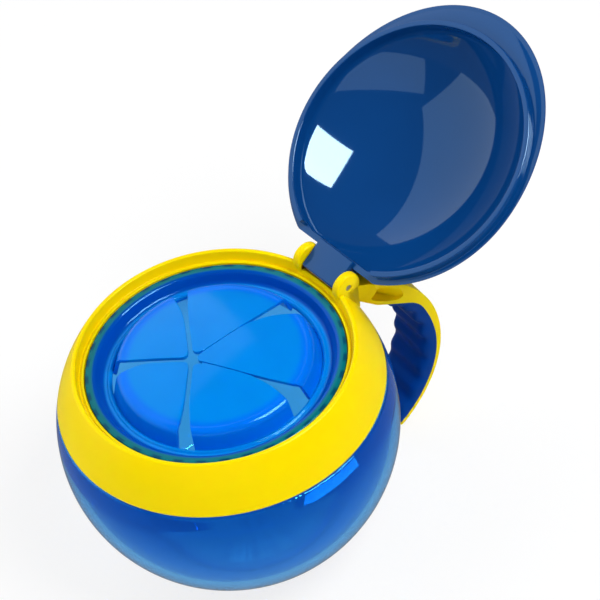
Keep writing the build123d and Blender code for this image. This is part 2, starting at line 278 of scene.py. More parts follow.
def clear_copolyester(colours):
    """Moulded clear copolyester: tinted and see-through, paler where the wall is seen along its length."""
    material, tree, out = new_material("tinted clear copolyester")
    factor, place = flow(tree, 30, 0.5)
    slant = add_node(tree, "ShaderNodeLayerWeight", {"Blend": 0.3})
    face = patchy(tree, factor, colours.bowl, 0.95)
    tint = add_node(
        tree,
        "ShaderNodeMix",
        {"data_type": "RGBA", 7: rgba(colours.bowl_edge)},
        {0: slant.outputs["Facing"], 6: face},
    )
    # Painted shade: the tint is multiplied darker from 30 mm up to the shoulder, standing in for the shade of
    # the bowl's inside under the collar
    parts = add_node(tree, "ShaderNodeSeparateXYZ", {}, {0: place})
    thick = add_node(
        tree,
        "ShaderNodeMapRange",
        {"interpolation_type": "SMOOTHSTEP", "From Min": 30 * MM, "From Max": 53 * MM},
        {"Value": parts.outputs["Z"]},
    )
    deep = add_node(
        tree,
        "ShaderNodeMix",
        {"data_type": "RGBA", "blend_type": "MULTIPLY", 7: (0.35, 0.55, 0.72, 1)},
        {0: thick.outputs["Result"], 6: tint.outputs[2]},
    )
    shader = add_node(
        tree,
        "ShaderNodeBsdfPrincipled",
        {
            "Roughness": 0.02,
            "IOR": 1.54,
            "Transmission Weight": 0.98,
            "Specular IOR Level": 0.3,
            "Specular Tint": (0.08, 0.6, 1.0, 1),
        },
        {"Base Color": deep.outputs[2], "Normal": skin_bump(tree, place, 40, 0.02, 0.12)},
    )
    tree.links.new(shader.outputs[0], out.inputs["Surface"])
    return material


def banded(tree, value, bands):
    """A colour that changes with a distance in millimetres.

    A band is where it starts, how far it fades in and its colour.
    """
    tone = None
    for (_, _, under), (start, fade, code) in zip(bands, bands[1:]):
        share = add_node(
            tree,
            "ShaderNodeMapRange",
            {"interpolation_type": "SMOOTHSTEP", "From Min": start * MM, "From Max": (start + fade) * MM},
            {"Value": value},
        )
        links = {0: share.outputs["Result"], 6: tone} if tone else {0: share.outputs["Result"]}
        tone = add_node(tree, "ShaderNodeMix", {"data_type": "RGBA", 6: under, 7: code}, links).outputs[2]
    return tone


def soft_elastomer(colours):
    """Translucent moulded elastomer: bright where thin, deep where thick, green where it lies on yellow, with
    painted shade over the collar's pockets.
    """
    material, tree, out = new_material("translucent blue elastomer")
    factor, place = flow(tree, 14, 0.8)
    parts = add_node(tree, "ShaderNodeSeparateXYZ", {}, {0: place})
    flat = add_node(tree, "ShaderNodeVectorMath", {"operation": "MULTIPLY", 1: (1, 1, 0)}, {0: place})
    away = add_node(tree, "ShaderNodeVectorMath", {"operation": "LENGTH"}, {0: flat.outputs[0]})
    out_way = away.outputs["Value"]
    tone = banded(
        tree,
        out_way,
        [
            (0, 0, rgba(colours.soft)),
            (22.6, 2.4, rgba(colours.soft_rim)),
            (28.4, 0.6, rgba(colours.soft)),
            (30.6, 1.0, rgba(colours.soft_deep)),
            (33.5, 0.9, rgba(colours.soft_flange)),
        ],
    )
    # Painted shade: over each pocket in the collar the flange is painted darker, for the shade in the pocket
    # under it
    angle = add_node(
        tree, "ShaderNodeMath", {"operation": "ARCTAN2"}, {0: parts.outputs["Y"], 1: parts.outputs["X"]}
    )
    per_turn = POCKETS / (2 * pi)
    turn = add_node(tree, "ShaderNodeMath", {"operation": "MULTIPLY", 1: per_turn}, {0: angle.outputs[0]})
    near = add_node(tree, "ShaderNodeMath", {"operation": "PINGPONG", 1: 0.5}, {0: turn.outputs[0]})
    across = add_node(
        tree, "ShaderNodeMapRange", {"From Min": 0.2, "From Max": 0.36}, {"Value": near.outputs[0]}
    )
    outer = add_node(
        tree, "ShaderNodeMapRange", {"From Min": 34.7 * MM, "From Max": 35.0 * MM}, {"Value": out_way}
    )
    pocket = add_node(
        tree, "ShaderNodeMath", {"operation": "MULTIPLY"}, {0: across.outputs[0], 1: outer.outputs[0]}
    )
    pocket_shaded = add_node(
        tree,
        "ShaderNodeMix",
        {"data_type": "RGBA", 7: rgba(colours.soft_pocket_shade)},
        {0: pocket.outputs[0], 6: tone},
    )
    flowing = add_node(
        tree,
        "ShaderNodeMix",
        {"data_type": "RGBA", "blend_type": "MULTIPLY", 7: (0.86, 0.9, 0.93, 1)},
        {0: factor, 6: pocket_shaded.outputs[2]},
    )
    shader = add_node(
        tree,
        "ShaderNodeBsdfPrincipled",
        {
            "Roughness": 0.1,
            "IOR": 1.47,
            "Specular IOR Level": 0.2,
            "Specular Tint": (0.2, 0.65, 1.0, 1),
            "Transmission Weight": 0.2,
            "Subsurface Weight": 0.15,
            "Subsurface Radius": (0.1, 0.5, 1.0),
            "Subsurface Scale": 2 * MM,
        },
        {"Base Color": flowing.outputs[2], "Normal": skin_bump(tree, place, 16, 0.04, 0.2)},
    )
    tree.links.new(shader.outputs[0], out.inputs["Surface"])
    return material


def grip_elastomer(colours):
    """Moulded elastomer grip: satin skin with a fine grain, drawn at 0.6 mm so that it shows."""
    material, tree, out = new_material("navy grip elastomer")
    factor, place = flow(tree, 9, 0.7)
    shader = add_node(
        tree,
        "ShaderNodeBsdfPrincipled",
        {"Roughness": 0.4, "IOR": 1.46, "Specular IOR Level": 0.1, "Specular Tint": (0.2, 0.5, 1.0, 1)},
        {
            "Base Color": patchy(tree, factor, colours.grip, 0.85),
            "Normal": skin_bump(tree, place, 0.6, 0.04, 0.5),
        },
    )
    tree.links.new(shader.outputs[0], out.inputs["Surface"])
    return material


def bright_steel(colours):
    """Cut stainless wire: bright metal with turned marks at the ends."""
    material, tree, out = new_material("bright stainless steel")
    factor, place = flow(tree, 1.2, 0.8)
    shader = add_node(
        tree,
        "ShaderNodeBsdfPrincipled",
        {"Metallic": 1.0, "Roughness": 0.4},
        {
            "Base Color": patchy(tree, factor, colours.steel, 0.8),
            "Normal": skin_bump(tree, place, 0.3, 0.02, 0.6),
        },
    )
    tree.links.new(shader.outputs[0], out.inputs["Surface"])
    return material


MATERIALS = {
    "yellow": yellow_polypropylene,
    "navy": navy_polypropylene,
    "clear": clear_copolyester,
    "soft": soft_elastomer,
    "grip": grip_elastomer,
    "steel": bright_steel,
}
made_materials = {}


def material_for(key, scene):
    """The material of that key, made once."""
    if key not in made_materials:
        made_materials[key] = MATERIALS[key](scene.cup_colours)
    return made_materials[key]


# Outlines, as (out, up) pairs in millimetres


def arc(centre, radius, first, last, steps):
    """Points of an arc about a centre, between two angles in radians."""
    turn = (last - first) / steps
    return [
        (centre[0] + radius * cos(first + turn * i), centre[1] + radius * sin(first + turn * i))
        for i in range(steps + 1)
    ]


def ball_out(radius, up, centre_up):
    """How far out a ball's surface is at a height."""
    return sqrt(max(radius**2 - (up - centre_up) ** 2, 0))


def ball_run(radius, low, high, centre_up, steps):
    """The ball's outline from one height to another."""
    first = asin((low - centre_up) / radius)
    last = asin((high - centre_up) / radius)
    return arc((0, centre_up), radius, first, last, steps)


def soften(corners, closed=True, steps=5):
    """The outline with its marked corners rounded. A corner is (out, up) or (out, up, reach of its round)."""
    points = [Vector(corner[:2]) for corner in corners]
    rounds = [corner[2] if len(corner) > 2 else 0 for corner in corners]
    count = len(points)
    spans = [(points[(i + 1) % count] - points[i]).length for i in range(count)]
    places = [sum(spans[:i]) for i in range(count)]
    whole = sum(spans)

    def at(distance):
        """The point of the outline at a distance along it."""
        distance %= whole
        index = max(i for i in range(count) if places[i] <= distance + 1e-9)
        share = (distance - places[index]) / max(spans[index], 1e-9)
        return points[index].lerp(points[(index + 1) % count], share)

    def apart(first, second):
        """The shorter way between two places on the outline."""
        gap = abs(first - second)
        return min(gap, whole - gap) if closed else gap

    smooth = []
    for i in range(count):
        if rounds[i]:
            start, end = at(places[i] - rounds[i]), at(places[i] + rounds[i])
            for k in range(steps + 1):
                t = k / steps
                smooth.append(start * (1 - t) ** 2 + points[i] * 2 * t * (1 - t) + end * t**2)
        elif not any(rounds[j] and apart(places[i], places[j]) < rounds[j] + 1e-6 for j in range(count)):
            smooth.append(points[i])
    return [tuple(point) for point in smooth]


# Modelling steps


def start_corner(name):
    """Adds a plane and merges it to one corner, which stays selected in edit mode."""
    bpy.ops.object.select_all(action="DESELECT")
    bpy.ops.mesh.primitive_plane_add(size=MM)
    piece = bpy.context.object
    piece.name = piece.data.name = name
    bpy.ops.object.mode_set(mode="EDIT")
    bpy.ops.mesh.select_all(action="SELECT")
    bpy.ops.mesh.merge(type="CENTER")
    return piece


def trace(points):
    """Moves the selected corner to the first point and extrudes it through the others."""
    bpy.ops.transform.translate(value=points[0])
    for here, there in zip(points, points[1:]):
        bpy.ops.mesh.extrude_region_move(TRANSFORM_OT_translate={"value": there - here})


def close_up():
    """Merges what lies together, turns the faces outwards and leaves edit mode."""
    bpy.ops.mesh.select_all(action="SELECT")
    bpy.ops.mesh.remove_doubles(threshold=2e-6)
    bpy.ops.mesh.normals_make_consistent(inside=False)
    bpy.ops.object.mode_set(mode="OBJECT")


def weld():
    """Merges corners that cuts or moves have left together."""
    bpy.ops.object.mode_set(mode="EDIT")
    close_up()


def turned(name, outline, steps=240):
    """A turned piece: the outline is spun about the cup's upright axis."""
    piece = start_corner(name)
    loop = outline if outline[0][0] < 1e-6 and outline[-1][0] < 1e-6 else [*outline, outline[0]]
    trace([Vector((out * MM, 0, up * MM)) for out, up in loop])
    bpy.ops.mesh.select_all(action="SELECT")
    bpy.ops.mesh.spin(steps=steps, angle=2 * pi, center=(0, 0, 0), axis=(0, 0, 1))
    close_up()
    return piece


def plate(name, outline, place, width, bevel, segments=4):
    """A flat piece: the outline is filled, extruded across the plane's middle and its edges are rounded."""
    piece = start_corner(name)
    trace([Vector((out * MM, -width / 2 * MM, up * MM)) for out, up in outline])
    bpy.ops.mesh.select_all(action="SELECT")
    bpy.ops.mesh.edge_face_add()
    bpy.ops.mesh.extrude_region_move(TRANSFORM_OT_translate={"value": (0, width * MM, 0)})
    close_up()
    piece.data.transform(place)
    if bevel:
        round_edges(piece, bevel, segments, 40)
    return piece


def modify(piece, kind, **settings):
    """Adds a modifier with its settings and applies it."""
    bpy.ops.object.select_all(action="DESELECT")
    bpy.context.view_layer.objects.active = piece
    piece.select_set(True)
    modifier = piece.modifiers.new(kind.title(), kind)
    for key, value in settings.items():
        setattr(modifier, key, value)
    bpy.ops.object.modifier_apply(modifier=modifier.name)


def round_edges(piece, millimetres, segments, sharp):
    """Rounds the edges that are sharper than an angle in degrees."""
    modify(
        piece,
        "BEVEL",
        width=millimetres * MM,
        segments=segments,
        limit_method="ANGLE",
        angle_limit=radians(sharp),
    )


def cut(piece, cutter):
    """Takes one piece out of another, and the cutter away."""
    modify(piece, "BOOLEAN", object=cutter, operation="DIFFERENCE", solver="EXACT")
    bpy.data.objects.remove(cutter)


def join(pieces):
    """Makes one piece of several."""
    bpy.ops.object.select_all(action="DESELECT")
    for piece in pieces:
        piece.select_set(True)
    bpy.context.view_layer.objects.active = pieces[0]
    bpy.ops.object.join()
    return pieces[0]


def dress(piece, key, scene, angle=35):
    """Smooths a piece and gives it its material."""
    bpy.ops.object.select_all(action="DESELECT")
    piece.select_set(True)
    bpy.context.view_layer.objects.active = piece
    bpy.ops.object.shade_smooth_by_angle(angle=radians(angle))
    piece.data.materials.clear()
    piece.data.materials.append(material_for(key, scene))


def handle_place():
    """The handle's plane, turned 5 degrees to the side of the hinge."""
    out = Vector((sin(radians(5)), cos(radians(5)), 0))
    return Matrix((out, -out.cross(Vector((0, 0, 1))), Vector((0, 0, 1)))).transposed().to_4x4()


def sized(scene):
    """The sizes in millimetres."""
    names = [key for key in CupSizes.__annotations__ if key != "lid_opening"]
    return {key: getattr(scene.cup_sizes, key) / MM for key in names}


# The pieces


class CUP_OT_bowl(bpy.types.Operator):
    """Clear bowl with its screw neck"""

    bl_idname = "cup.bowl"
    bl_label = "Bowl"

    def execute(self, context):
        s = sized(context.scene)
        mid, inner = s["ball_height"], s["ball"] - s["bowl_wall"]
        neck_inner = s["neck"] - s["bowl_wall"]
        land, root = s["shoulder"] + 1.6, s["shoulder"] - 7
        outline = [(0, 0), (ball_out(s["ball"], 0, mid), 0, 1.2)]
        outline += ball_run(s["ball"], 0, s["shoulder"], mid, 60)[1:-1]
        outline += [
            (ball_out(s["ball"], s["shoulder"], mid), s["shoulder"], 0.5),
            (s["neck"] + 1.2, s["shoulder"], 0.3),
            (s["neck"] + 1.2, land, 0.2),
            (s["neck"], land, 0.2),
        ]
        rows = 20
        rise = (s["neck_top"] - land - 1.2) / rows
        outline += [(s["neck"], land + 0.4 + rise * row) for row in range(rows + 1)]
        outline += [
            (s["neck"], s["neck_top"], 0.7),
            (neck_inner, s["neck_top"], 0.7),
            (neck_inner, land, 1.5),
        ]
        outline += [(ball_out(inner, root, mid), root, 2.0)]
        outline += ball_run(inner, s["bowl_floor"], root, mid, 50)[-2:0:-1]
        outline += [(ball_out(inner, s["bowl_floor"], mid), s["bowl_floor"], 3.0), (0, s["bowl_floor"])]
        bowl = turned("clear_bowl", soften(outline, closed=False))
        # Two-start thread: the neck's corners move out along two helices
        for vertex in bowl.data.vertices:
            out, up = vertex.co.xy.length / MM, vertex.co.z / MM
            if abs(out - s["neck"]) < 0.01 and land < up < s["neck_top"] - 0.7:
                turn = atan2(vertex.co.y, vertex.co.x) / (2 * pi)
                phase = ((up - land) / s["thread_lead"] - turn) * 2 % 1
                ridge = max(0, min(1, 2.2 - abs(phase - 0.5) * 9))
                ends = min(1, (up - land) / 0.9, (s["neck_top"] - up) / 1.2)
                vertex.co.xy *= 1 + s["thread_depth"] * ridge * ends / s["neck"]
        dress(bowl, "clear", context.scene)
        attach(bowl, "bowl")
        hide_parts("bowl")
        return {"FINISHED"}


class CUP_OT_collar(bpy.types.Operator):
    """Yellow screw collar with its lip, groove, ears and handle"""

    bl_idname = "cup.collar"
    bl_label = "Collar and handle"

    def execute(self, context):
        s = sized(context.scene)
        mid, low, top = s["ball_height"], s["shoulder"] + 0.4, s["rim_top"]
        web = s["neck_top"] + SEAL
        web_top = web + WEB
        lip_out, lip_top = s["lip"] + 0.75, web_top + 1.35
        outline = [(s["bore"], low, 0.4), (ball_out(s["ball"], low, mid), low, 0.8)]
        outline += ball_run(s["ball"], low, top, mid, 30)[1:-1]
        rim = ball_out(s["ball"], top, mid)
        outline += [
            (rim, top, 0.45),
            (rim - s["rim_width"], top, 0.45),
            (lip_out + 0.7, lip_top - 0.45, 0.3),
            (lip_out, lip_top - 0.45, 0.15),
            (lip_out, lip_top, 0.2),
            (s["lip"], lip_top, 0.2),
            (s["lip"], web_top, 0.15),
            (WEB_EDGE, web_top, 0.2),
            (WEB_EDGE, web, 0.2),
            (s["neck"], web),
            (s["bore"], web - 1.5, 0.3),
        ]
        band = turned("yellow_collar", soften(outline), 288)
        # Room for the lid's knuckle and its plate between the ears
        pin = (s["pin_out"], s["pin_height"])
        upright = Matrix.Rotation(pi / 2, 4, "Z")
        notch_in, notch_low = 36.0, 65.9
        notch = [(notch_in, notch_low), *arc(pin, NOTCH[0], radians(219.5), radians(450), 40)]
        notch += [(notch_in, pin[1] + NOTCH[0])]
        cut(band, plate("notch", notch, upright, NOTCH[1], 0))
        # Pockets in the web, under the insert's flange, which carries dark dashes of painted shade over them
        pockets = []
        for i in range(POCKETS):
            bpy.ops.object.select_all(action="DESELECT")
            bpy.ops.mesh.primitive_cube_add(size=1)
            pocket = context.object
            pocket.data.transform(Matrix.Diagonal((1.1 * MM, 2.2 * MM, 1.8 * MM, 1)))
            pocket.data.transform(Matrix.Translation(((s["lip"] - 0.62) * MM, 0, web_top * MM)))
            pocket.data.transform(Matrix.Rotation(2 * pi * (i + 0.5) / POCKETS, 4, "Z"))
            pockets.append(pocket)
        cut(band, join(pockets))
        dress(band, "yellow", context.scene, 30)
        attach(band, "collar")

        # Ears that carry the pin
        foot = lip_out + 0.35
        ear_low = web - 3.6
        ear_outline = [(foot, web + 0.6), (foot, web + 2.4), (pin[0] - 4.15, pin[1] - 1.2)]
        ear_outline += arc(pin, 4.2, pi, 0, 28)
        ear_outline += [(pin[0] + 3.8, pin[1] - 3.4), (s["bore"] + 1.7, ear_low), (s["bore"], ear_low)]
        bore = arc(pin, PIN_RADIUS + 0.04, 0, 2 * pi, 40)[:-1]
        for side in (-1, 1):
            across = Matrix.Translation((side * s["ear_spacing"] / 2 * MM, 0, 0))
            ear = plate("hinge_ear_%s" % "ab"[side > 0], ear_outline, across @ upright, 2.5, 0.6)
            cut(ear, plate("bore", bore, across @ upright, 4, 0))
            dress(ear, "yellow", context.scene)
            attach(ear, "collar")

        # Arm and strap of the handle
        bend, centre = s["handle_bend"], HANDLE_CENTRE
        arm_top = pin[1] - 1.6
        root_out = rim - s["rim_width"] + 2.6
        strap = [(root_out, arm_top - 4.0), (root_out, arm_top)]
        foot_angle, foot_in = -pi / 3, bend - 3.4
        strap += arc(centre, bend, asin((arm_top - centre[1]) / bend), foot_angle, 48)
        strap[-1] = (*strap[-1], 0.9)
        skin = handle_skin(centre, bend)
        skin[-1] = (*skin[-1], 3.4)
        end_in = (centre[0] + foot_in * cos(foot_angle), centre[1] + foot_in * sin(foot_angle), 0.9)
        strap += [end_in, *skin, (*GRIP_TIP, 0.4), (s["bore"] + 0.6, arm_top - 5.0)]
        arm = plate("yellow_handle", soften(strap), handle_place(), s["handle_width"], 1.0, 5)
        # A scoop in each flank, deep by the ear and running out towards the bend
        scoop = [(46.6, 60.3, 0.8), (48.8, 63.8, 1.0), (51.8, 62.3), (54.8, 59.8), (56.8, 57.6, 1.4)]
        scoop += [(56.8, 55.0, 1.2), (54.4, 55.1, 0.8), (51.0, 57.2)]
        scoop_depth, scoop_end, scoop_run = 4.8, 57.2, 7.0
        for side in (-1, 1):
            cutter = plate("scoop", soften(scoop), Matrix.Identity(4), 2 * scoop_depth, 0.7, 3)
            for vertex in cutter.data.vertices:
                shallow = min(1, max(0.06, (scoop_end - vertex.co.x / MM) / scoop_run))
                if vertex.co.y * side < 0:
                    vertex.co.y *= shallow
            push = Matrix.Translation((0, side * s["handle_width"] / 2 * MM, 0))
            cutter.data.transform(handle_place() @ push)
            cut(arm, cutter)
        # The arm is no wider than the ears where it leaves the band
        taper = [(9.6, 34.0), (9.6, 43.4), (12.3, 47.4), (16.0, 47.4), (16.0, 34.0)]
        lie = Matrix.Translation((0, 0, 62 * MM)) @ Matrix.Rotation(-pi / 2, 4, "X")
        cut(arm, plate("taper", taper, lie, 16, 0))
        cut(arm, plate("notch", notch, upright, NOTCH[1], 0))
        weld()
        dress(arm, "yellow", context.scene)
        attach(arm, "collar")
        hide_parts("collar")
        return {"FINISHED"}


class CUP_OT_pin(bpy.types.Operator):
    """Steel hinge pin with domed ends"""

    bl_idname = "cup.pin"
    bl_label = "Hinge pin"

    def execute(self, context):
        s = sized(context.scene)
        bpy.ops.object.select_all(action="DESELECT")
        bpy.ops.mesh.primitive_cylinder_add(vertices=48, radius=PIN_RADIUS * MM, depth=18.8 * MM)
        pin = context.object
        pin.name = "steel_pin"
        pin.data.transform(Matrix.Rotation(pi / 2, 4, "Y"))
        pin.data.transform(Matrix.Translation((0, s["pin_out"] * MM, s["pin_height"] * MM)))
        round_edges(pin, 0.3, 4, 40)
        dress(pin, "steel", context.scene)
        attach(pin, "collar")
        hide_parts("hinge_pin")
        return {"FINISHED"}


class CUP_OT_grip(bpy.types.Operator):
    """Soft ribbed grip inside the handle"""

    bl_idname = "cup.grip"
    bl_label = "Grip"

    def execute(self, context):
        s = sized(context.scene)
        centre, tip = Vector(HANDLE_CENTRE), Vector(GRIP_TIP)
        inner = arc_through(GRIP_FOOT, GRIP_WAIST, GRIP_TIP, 160)[2:]
        ribs, rib_rise, half, lanes = 8, 0.9, s["handle_width"] / 2 - 0.02, 28
        # Past this angle the grip's back leaves the bend and runs straight to its tip
        leave = radians(27)
        seat = centre + Vector((cos(leave), sin(leave))) * (s["handle_bend"] - SKIN[1])
        run = (seat - tip).normalized()
        rings = []
        for i, point in enumerate(inner):
            share = i / (len(inner) - 1)
            wave = 0.5 - 0.5 * cos(2 * pi * ribs * share)
            taper = min(1, (1 - share) / 0.06, share / 0.015 + 0.4)
            point = Vector(point)
            inward = (centre - point).normalized()
            face = point + inward * rib_rise * wave * taper
            out = (face - centre).normalized()
            angle = atan2(out.y, out.x)
            back = centre + out * (s["handle_bend"] - skin_depth(angle))
            if angle > leave:
                back = tip + run * max(0.05, (face - tip).dot(run) + 0.02)
            depth = (back - face).length
            across = face - back
            edge = min(1.6, depth * 0.7)
            ring = []
            for v in range(lanes + 1):
                x = half * (v / lanes * 2 - 1)
                over = max(0, abs(x) - (half - edge * 1.6)) / (edge * 1.6)
                fall = 1 - sqrt(max(0, 1 - over**2))
                low = across * (1 - fall * min(1, edge / max(depth, 0.01)))
                ring.append((back + low, x))
            rings.append((ring, back))
        mesh = bmesh.new()
        columns = []
        for ring, back in rings:
            row = [mesh.verts.new((p.x * MM, x * MM, p.y * MM)) for p, x in ring]
            row += [mesh.verts.new((back.x * MM, x * MM, back.y * MM)) for x in (half, -half)]
            columns.append(row)
        for first, second in zip(columns, columns[1:]):
            size = len(first)
            for k in range(size):
                mesh.faces.new((first[k], first[(k + 1) % size], second[(k + 1) % size], second[k]))
        mesh.faces.new(columns[0])
        mesh.faces.new(columns[-1])
        bmesh.ops.recalc_face_normals(mesh, faces=mesh.faces)
        data = bpy.data.meshes.new("ribbed_grip")
        mesh.to_mesh(data)
        mesh.free()
        data.transform(handle_place())
        grip = bpy.data.objects.new("ribbed_grip", data)
        context.scene.collection.objects.link(grip)
        dress(grip, "grip", context.scene, 50)
        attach(grip, "collar")
        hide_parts("handle_grip")
        return {"FINISHED"}


def skin_depth(angle):
    """How thick the handle's yellow skin is behind the grip, thinner towards its lower end."""
    share = min(1, max(0, (degrees(angle) + 22) / 44))
    return SKIN[0] + (SKIN[1] - SKIN[0]) * share * share * (3 - 2 * share)


def handle_skin(centre, bend):
    """The seam between the yellow skin and the grip, from the lower end up to the arm."""
    places = [radians(-59 + 86 * i / 40) for i in range(41)]
    reach = [bend - skin_depth(place) for place in places]
    return [(centre[0] + r * cos(place), centre[1] + r * sin(place)) for r, place in zip(reach, places)]


def arc_through(first, middle, last, steps):
    """Points of the arc through three points."""
    (ax, ay), (bx, by), (cx, cy) = first, middle, last
    d = 2 * (ax * (by - cy) + bx * (cy - ay) + cx * (ay - by))
    ux = ((ax**2 + ay**2) * (by - cy) + (bx**2 + by**2) * (cy - ay) + (cx**2 + cy**2) * (ay - by)) / d
    uy = ((ax**2 + ay**2) * (cx - bx) + (bx**2 + by**2) * (ax - cx) + (cx**2 + cy**2) * (bx - ax)) / d
    radius = sqrt((ax - ux) ** 2 + (ay - uy) ** 2)
    return arc((ux, uy), radius, atan2(ay - uy, ax - ux), atan2(cy - uy, cx - ux), steps)


class CUP_OT_insert(bpy.types.Operator):
    """Soft insert: the ring that snaps over the collar's web"""

    bl_idname = "cup.insert"
    bl_label = "Insert"

    def execute(self, context):
        s = sized(context.scene)
        low = s["neck_top"]
        web, clip = low + SEAL, WEB_EDGE - 0.25
        web_top, flange_edge, ring_edge = web + WEB, s["lip"] - 0.25, 39.4
        flange = web_top + 1.05
        outline = [
            (s["flap_root"] + 0.05, low + 0.3, 0.2),
            (s["flap_root"] + 0.25, low),
            (ring_edge, low, 0.3),
            (ring_edge, web, 0.3),
            (clip, web),
            (clip, web_top),
            (flange_edge, web_top, 0.2),
            (flange_edge, flange, 0.45),
            (33.2, flange, 0.7),
            (31.7, low + 1.1, 0.9),
            (30.3, low + 1.15, 0.2),
            (29.95, low + 1.5, 0.2),
            (29.5, low + 1.5, 0.2),
            (s["flap_root"] + 0.1, low + 1.0, 0.2),
        ]
        ring = turned("soft_insert", soften(outline), 240)
        dress(ring, "soft", context.scene)
        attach(ring, "insert")
        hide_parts("flap_ring")
        return {"FINISHED"}


class CUP_OT_flaps(bpy.types.Operator):
    """Five soft flaps, cut from one raised dome"""

    bl_idname = "cup.flaps"
    bl_label = "Flaps"

    def execute(self, context):
        s = sized(context.scene)
        star = Vector(STAR)
        root, low = s["flap_root"], s["neck_top"]
        lean, shoulder, rise = 1.4, 2.4, 1.9
        wall_top, wall_out = low + 4.6, root - lean
        edge_out, edge_up = wall_out - shoulder, wall_top + shoulder * 0.6
        cap = (edge_out**2 + rise**2) / (2 * rise)
        knee = (wall_out - 0.72, wall_top + 0.7 * (edge_up - wall_top))
        side = arc_through((edge_out, edge_up), knee, (wall_out, wall_top), 9)
        side += [(wall_out + lean * k / 8, wall_top - 4.0 * k / 8) for k in range(1, 9)]
        side += [(root + 0.25, low + 0.4)]
        slits = []
        for azimuth, narrow, before, after in SLITS:
            run = Vector((SLIT_CIRCLE * cos(azimuth), SLIT_CIRCLE * sin(azimuth))) - star
            slits.append((atan2(run.y, run.x), run.length, narrow, before, after))

        def half_width(slit, distance, wide):
            """How far a side of the slit is from the slit's line, at a distance from the star."""
            reach, narrow = slit[1], slit[2]
            first = reach * 0.42
            wide = wide - narrow
            bend = ((reach - first) ** 2 + wide**2) / (2 * wide)
            past = max(0, distance - first)
            return narrow + bend - sqrt(max(bend**2 - past**2, 0))

        def ray(angle, out):
            """Distance from the star, at an angle, to the circle of a radius about the cup's axis."""
            way = Vector((cos(angle), sin(angle)))
            half = star.dot(way)
            return -half + sqrt(half**2 - star.length_squared + out**2)

        rows, columns, blunt = 26, 48, 1.5
        count = len(slits)
        for i, first in enumerate(slits):
            second = slits[(i + 1) % count]
            span = (second[0] - first[0]) % (2 * pi)
            grid = []
            tip_away = (blunt + max(first[2], second[2])) / sin(min(span / 2, pi / 2))
            for row in range(rows + len(side)):
                line = []
                for column in range(columns + 1):
                    share = column / columns
                    angle = first[0] + span * share
                    for _ in range(5):
                        if row < rows:
                            aside = min(abs(angle - first[0] - span / 2), asin(blunt / tip_away))
                            inset = sqrt(max(0, blunt**2 - (tip_away * sin(aside)) ** 2))
                            tip = tip_away * cos(aside) - inset
                            distance = tip + (ray(angle, edge_out) - tip) * (row / rows)
                        else:
                            distance = ray(angle, side[row - rows][0])
                        before = asin(min(0.9, half_width(first, distance, first[4]) / distance))
                        after = asin(min(0.9, half_width(second, distance, second[3]) / distance))
                        angle = first[0] + before + (span - before - after) * share
                    plan = star + Vector((cos(angle), sin(angle))) * distance
                    if row < rows:
                        up = edge_up + rise - (cap - sqrt(cap**2 - plan.length_squared))
                    else:
                        up = side[row - rows][1]
                    line.append(Vector((plan.x, plan.y, up)) * MM)
                grid.append(line)
            mesh = bmesh.new()
            corners = [[mesh.verts.new(point) for point in line] for line in grid]
            for above, below in zip(corners, corners[1:]):
                for k in range(columns):
                    mesh.faces.new((above[k], below[k], below[k + 1], above[k + 1]))
            data = bpy.data.meshes.new("soft_flap_%d" % (i + 1))
            mesh.to_mesh(data)
            mesh.free()
            flap = bpy.data.objects.new(data.name, data)
            context.scene.collection.objects.link(flap)
            modify(flap, "SOLIDIFY", thickness=s["flap_thickness"] * MM, offset=-1)
            round_edges(flap, 0.3, 3, 60)
            dress(flap, "soft", context.scene, 60)
            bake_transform(flap)
            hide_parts("flap_%d" % (i + 1))
        return {"FINISHED"}


